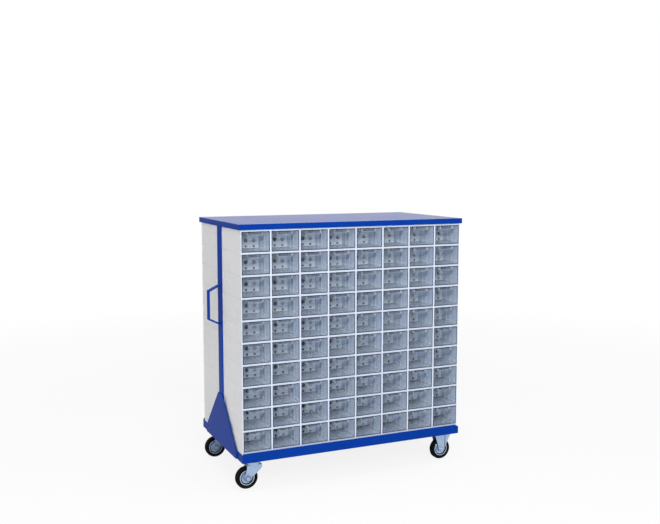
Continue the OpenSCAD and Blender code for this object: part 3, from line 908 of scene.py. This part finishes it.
    def places(self, node: str) -> list[Matrix]:
        """Where the pattern goes to fill a node.

        Args:
            node: A node of one drawer or of a row of them.

        Returns:
            One placement for each drawer.
        """
        low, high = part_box(node)
        width = self.high.x - self.low.x
        count = self.bays if high.x - low.x > self.row_share * width else 1
        step = (high.x - low.x - width) / (count - 1) if count > 1 else 0.0
        middle = (self.low + self.high) / 2
        turn = Matrix.Rotation(math.pi, 4, "Z") if low.y > 0 else Matrix.Identity(4)
        found = []
        for bay in range(count):
            there = (low + high) / 2
            there.x = low.x + width / 2 + bay * step
            found.append(Matrix.Translation(there) @ turn @ Matrix.Translation(-middle))
        return found

    def build(self) -> None:
        """Fills every bay of both banks."""
        clear = [zone.value for zone in Zone]
        for node in nodes_named("drawer"):
            body = body_of_node(node)
            place_piece(self.filled(node, self.drawer, f"{node}_clear"), clear, body, [node])
            place_piece(self.filled(node, self.divider, f"{node}_dividers"), [DIVIDER], body)
        bpy.data.meshes.remove(self.drawer)
        bpy.data.meshes.remove(self.divider)

    def filled(self, node: str, pattern: bpy.types.Mesh, name: str) -> bpy.types.Mesh:
        """A mesh with a copy of the pattern in each of a node's bays."""
        form = Form()
        for place in self.places(node):
            form.add(pattern, place)
        return form.mesh(name)


@dataclass
class Wheel:
    """One caster wheel, turned round its axle."""

    corner: str
    tyre_facets: int = 128
    seat_gap: float = 0.0002
    bead: float = 0.0015
    bead_reach: float = 0.0035
    bead_slope: float = 0.0010
    wall_dip: float = 0.0002
    shoulder: float = 0.0060
    shoulder_run: float = 0.0020
    shoulder_steps: int = 6
    crown: float = 0.0004
    tread_share: float = 0.35
    rim_facets: int = 96
    rim_inset: float = 0.0015
    bore: float = 0.0062
    hub_radius: float = 0.0120
    chamfer: float = 0.0010
    dish: float = 0.0020
    ring_width: float = 0.0030
    web_inset: float = 0.0045
    groove_out: float = 0.0034
    groove_in: float = 0.0082
    groove_floor: float = 0.0030
    groove_shade: float = 0.0010
    lip: float = 0.0030
    ease: float = 0.0008
    edge: float = 0.0006
    finishes: tuple[Finish, ...] = (ZINC, PAINTED_ZINC_SHADE, LIP_HIGHLIGHT)

    def build(self) -> None:
        """Builds the tyre and the rim over their nodes."""
        low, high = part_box(f"tyre_{self.corner}")
        rim_low, rim_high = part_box(f"wheel_rim_{self.corner}")
        middle = (low + high) / 2
        place = Matrix.Translation(middle) @ Matrix.Rotation(math.pi / 2, 4, "X")
        body = body_of_node(f"tyre_{self.corner}")
        radius, half = (high.z - low.z) / 2, (high.y - low.y) / 2
        seat = (rim_high.z - rim_low.z) / 2
        tyre = Form().turned(self.tyre_profile(radius, half, seat), place, self.tyre_facets)
        place_piece(tyre.mesh(f"tyre_{self.corner}_rubber"), [TYRE], body, [f"tyre_{self.corner}"])
        hub_half = (rim_high.y - rim_low.y) / 2
        profile = self.rim_profile(seat, half - self.rim_inset, hub_half)
        rim = Form().turned(profile, place, self.rim_facets)
        for face in rim.bm.faces:
            finish = self.finish_at(place.inverted() @ face.calc_center_median(), seat, half)
            face.material_index = self.finishes.index(finish)
        place_piece(rim.mesh(f"wheel_rim_{self.corner}_zinc"), self.finishes, body,
                    [f"wheel_rim_{self.corner}"])

    def finish_at(self, spot: Vector, seat: float, half: float) -> Finish:
        """The finish of a face of the rim.

        Args:
            spot: The face's middle, from the wheel's middle, with Z along the axle.
            seat: The rim's radius.
            half: Half the tyre's width.

        Returns:
            The lip's painted highlight, the groove's painted shade, or the web's zinc.
        """
        away = math.hypot(spot.x, spot.y)
        # The rim's lip gets a painted highlight, and its real groove painted shade as well.
        if away > seat - self.groove_out:
            return LIP_HIGHLIGHT
        grooved = away > seat - self.groove_in and abs(spot.z) < half - self.groove_shade
        return PAINTED_ZINC_SHADE if grooved else ZINC

    def tyre_profile(self, radius: float, half: float, seat: float) -> list[Point]:
        """The tyre's section: a crowned tread, round shoulders and a stepped side wall.

        Args:
            radius: The tyre's radius.
            half: Half its width.
            seat: Radius of the rim that it sits on.

        Returns:
            (radius, height) points round the section.
        """
        bead_end = seat + self.bead_reach
        turn_in = radius - self.shoulder
        side = [(seat + self.seat_gap, half - self.bead), (bead_end, half - self.bead),
                (bead_end + self.bead_slope, half - self.wall_dip), (turn_in - self.shoulder_run, half)]
        for step in range(1, self.shoulder_steps + 1):
            angle = math.pi / 2 * step / self.shoulder_steps
            drop = self.crown if step < self.shoulder_steps else 0.0
            side.append((turn_in + self.shoulder * math.sin(angle) - drop,
                         half - self.shoulder + self.shoulder * math.cos(angle)))
        side.append((radius, half * self.tread_share))
        return side + [(r, -h) for r, h in reversed(side)]

    def rim_profile(self, seat: float, half: float, hub_half: float) -> list[Point]:
        """The rim's section: lip, dished web with a pressed ring, and hub.

        Args:
            seat: The rim's radius.
            half: Half its width.
            hub_half: Half the hub's length.

        Returns:
            (radius, height) points round the section.
        """
        hub, disc = self.hub_radius, half - self.web_inset
        ring = hub + 2 * self.dish
        inner, outer = seat - self.groove_in, seat - self.groove_out
        side = [
            (self.bore, hub_half), (hub - self.chamfer, hub_half), (hub, hub_half - self.chamfer),
            (hub, disc - self.dish), (hub + self.dish, disc - self.dish),
            (ring, disc - self.ease), (ring + self.ring_width, disc - self.ease),
            (inner - self.ease, disc), (inner, disc - self.ease),
            (inner + self.edge, self.groove_floor), (outer - self.edge, self.groove_floor),
            (outer, half - self.ease), (seat - self.lip, half),
            (seat - self.edge, half), (seat, half - self.edge),
        ]
        return side + [(r, -h) for r, h in reversed(side)]


@dataclass(frozen=True)
class LegEdge:
    """One upright edge of a fork's legs: how far from the hub it lies at each height."""

    # One wheel's legs lie this near its middle, along the axle.
    NEAR = 0.1
    # The round boss keeps its shape out to this share of its radius.
    BOSS_CLEARANCE = 1.02
    # The outline's last height still counts when a vertex lies this far above it.
    TOP_SLACK = 0.0005

    side: int
    boss: float
    outline: tuple[Point, ...]

    def shape(self, form: Form, hub: Vector) -> None:
        """Moves the edge to its outline.

        Args:
            form: The fork.
            hub: The middle of its wheel.
        """
        foot, top = self.outline[0][1], self.outline[-1][1] + self.TOP_SLACK
        for vert in form.bm.verts:
            aside, up = self.side * (vert.co.x - hub.x), vert.co.z - hub.z
            near = abs(vert.co.y - hub.y) < self.NEAR
            if near and aside > self.boss * self.BOSS_CLEARANCE and foot < up < top:
                vert.co.x = hub.x + self.side * self.reach(up)

    def reach(self, up: float) -> float:
        """How far the edge lies from the hub's middle at a height above it."""
        for (near, low), (far, high) in zip(self.outline, self.outline[1:]):
            if up <= high:
                return near + (far - near) * (up - low) / (high - low)
        return self.outline[-1][0]


LEG_BOSS = 0.014
SWIVEL_EDGES = (LegEdge(1, LEG_BOSS, ((0.0235, 0.004), (0.066, 0.040), (0.070, 0.047))),)
FIXED_EDGES = (LegEdge(1, LEG_BOSS, ((0.0180, 0.004), (0.0485, 0.068), (0.0495, 0.075))),
               LegEdge(-1, LEG_BOSS, ((0.0145, 0.004), (0.0350, 0.068), (0.0400, 0.075))))


@dataclass
class CasterSteel:
    """Forks, plates, pins and bolts of the casters."""

    edge_radius: float = 0.0006
    ring_inner: float = 0.0108
    ring_outer: float = 0.0134
    ring_proud: float = 0.0003
    ring_facets: int = 48
    step: Span = (0.0170, 0.0205)
    upright: float = 0.5
    nodes: tuple[str, ...] = ("swivel_fork_front", "swivel_fork_back", "swivel_plates", "king_pins",
                              "fixed_forks", "fixed_axle_bolts", "axle_bolt_front", "axle_bolt_back",
                              "caster_bolts")

    def build(self) -> None:
        """Rounds each steel piece and plates it."""
        for node in self.nodes:
            form = Form.of_node(node)
            for corner, edge in self.leg_edges(node):
                edge.shape(form, self.hub(corner))
            form.rounded(self.edge_radius, 1)
            if node == "fixed_forks":
                self.shade_steps(form)
            # The swivel plates' upright edges get painted shade.
            if node == "swivel_plates":
                for face in form.bm.faces:
                    face.material_index = int(abs(face.normal.z) < self.upright)
            place_piece(form.mesh(f"{node}_plated"), [ZINC, PAINTED_ZINC_SHADE], body_of_node(node), [node])
        for corner in ("front", "back"):
            self.pressed_rings(corner)

    def shade_steps(self, form: Form) -> None:
        """Marks a strip beside the crease of each fixed leg, standing for a pressed step, and gives it
        painted shade.
        """
        near, far = (self.hub("front_right").x + place for place in self.step)
        for place in (near, far):
            form.score([f for f in form.bm.faces if abs(f.normal.y) > SQUARE], 0, place)
        for face in form.bm.faces:
            across = abs(face.normal.y) > SQUARE
            face.material_index = int(across and near < face.calc_center_median().x < far)

    @staticmethod
    def hub(corner: str) -> Vector:
        """The middle of the wheel at a corner."""
        low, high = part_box(f"tyre_{corner}")
        return (low + high) / 2

    @staticmethod
    def leg_edges(node: str) -> list[tuple[str, LegEdge]]:
        """The leg edges to shape on a node, each with the corner of its wheel."""
        if node.startswith("swivel_fork_"):
            return [(node.replace("swivel_fork_", "") + "_left", edge) for edge in SWIVEL_EDGES]
        if node == "fixed_forks":
            return [(f"{end}_right", edge) for end in ("front", "back") for edge in FIXED_EDGES]
        return []

    def pressed_rings(self, end: str) -> None:
        """Thin rings in painted shade on the swivel fork's legs round its axle, where pressed rings
        would lie.

        Args:
            end: The end of the cabinet that the fork is at, front or back.
        """
        hub = self.hub(f"{end}_left")
        low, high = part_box(f"swivel_fork_{end}")
        inner, outer, proud = self.ring_inner, self.ring_outer, self.ring_proud
        section = [(inner, -proud), (outer, -proud), (outer, proud), (inner, proud)]
        along_axle = Matrix.Rotation(math.pi / 2, 4, "X")
        form = Form()
        for face in (low.y - hub.y, high.y - hub.y):
            place = Matrix.Translation(hub + Vector((0, face, 0))) @ along_axle
            form.turned(section, place, self.ring_facets)
        place_piece(form.mesh(f"fork_rings_{end}"), [PAINTED_ZINC_SHADE], body_of_node(f"swivel_fork_{end}"))


# -------------------------------------------------------------------- the studio


class Lamp(Enum):
    """The studio's soft boxes: place, size, power."""

    KEY = ((-1.5, -4.55, 3.0), 2.6, 185.0)
    SIDE = ((-4.6, 0.2, 2.4), 2.6, 42.0)
    FILL = ((3.4, -3.4, 2.0), 2.6, 26.0)
    TOP = ((0.4, -0.6, 4.4), 2.6, 58.0)


@dataclass
class Studio:
    """Floor, soft light and camera."""

    look_at: Triple = (0.0, 0.0, 0.6)
    camera_place: Triple = (-1.746, -3.954, 1.469)
    camera_pitch: float = 6.26
    camera_yaw: float = 24.21
    lens: float = 48.0
    sensor_width: float = 36.0
    sky: float = 0.34
    floor_half: float = 20.0
    floor_squares: int = 8

    def build(self) -> None:
        """Sets up everything round the cabinet."""
        self.floor()
        self.world()
        self.camera()
        for lamp in Lamp:
            self.soft_box(lamp)
        bpy.context.scene.view_settings.view_transform = "Standard"

    def floor(self) -> None:
        """Lays the floor at the wheels' foot."""
        form = Form()
        bmesh.ops.create_grid(form.bm, x_segments=self.floor_squares,
                              y_segments=self.floor_squares, size=self.floor_half)
        mesh = form.mesh("floor")
        mesh.materials.append(FLOOR.material())
        floor = bpy.data.objects.new("floor", mesh)
        bpy.context.scene.collection.objects.link(floor)

    def world(self) -> None:
        """Gives soft light all round, and white where camera and gloss look."""
        world = bpy.data.worlds.new("studio")
        bpy.context.scene.world = world
        tree = ShaderTree(world)
        soft = tree.node("ShaderNodeBackground", {}, {"Color": (1, 1, 1, 1), "Strength": self.sky})
        white = tree.node("ShaderNodeBackground", {}, {"Color": (1, 1, 1, 1), "Strength": 1.0})
        rays = [tree.node("ShaderNodeLightPath", {}, {}, ray)
                for ray in ("Is Camera Ray", "Is Glossy Ray", "Is Transmission Ray")]
        seen = tree.node("ShaderNodeClamp", {}, {"Value": rays[0] + rays[1] + rays[2]})
        tree.node_out("ShaderNodeOutputWorld",
                      tree.node("ShaderNodeMixShader", {}, {0: seen, 1: soft, 2: white}))

    def camera(self) -> None:
        """Places the camera."""
        data = bpy.data.cameras.new("camera")
        data.lens = self.lens
        data.sensor_width = self.sensor_width
        camera = bpy.data.objects.new("camera", data)
        camera.location = self.camera_place
        tilt, turn = math.radians(90 - self.camera_pitch), math.radians(-self.camera_yaw)
        camera.rotation_euler = (tilt, 0.0, turn)
        bpy.context.scene.collection.objects.link(camera)
        bpy.context.scene.camera = camera

    def soft_box(self, lamp: Lamp) -> None:
        """Hangs one soft box, aimed at the cabinet."""
        place, size, power = lamp.value
        data = bpy.data.lights.new(lamp.name.lower(), "AREA")
        data.shape, data.size, data.energy = "SQUARE", size, power
        light = bpy.data.objects.new(lamp.name.lower(), data)
        light.location = place
        aim = Vector(self.look_at) - Vector(place)
        light.rotation_euler = aim.to_track_quat("-Z", "Y").to_euler()
        bpy.context.scene.collection.objects.link(light)


def main() -> None:
    """Builds the cabinet's looks and the studio."""
    logging.basicConfig(level=logging.INFO, format="%(message)s")
    Steelwork().build()
    Housings().build()
    DrawerBanks().build()
    CasterSteel().build()
    for corner in ("front_left", "front_right", "back_left", "back_right"):
        Wheel(corner).build()
    Studio().build()


if __name__ == "__main__":
    main()
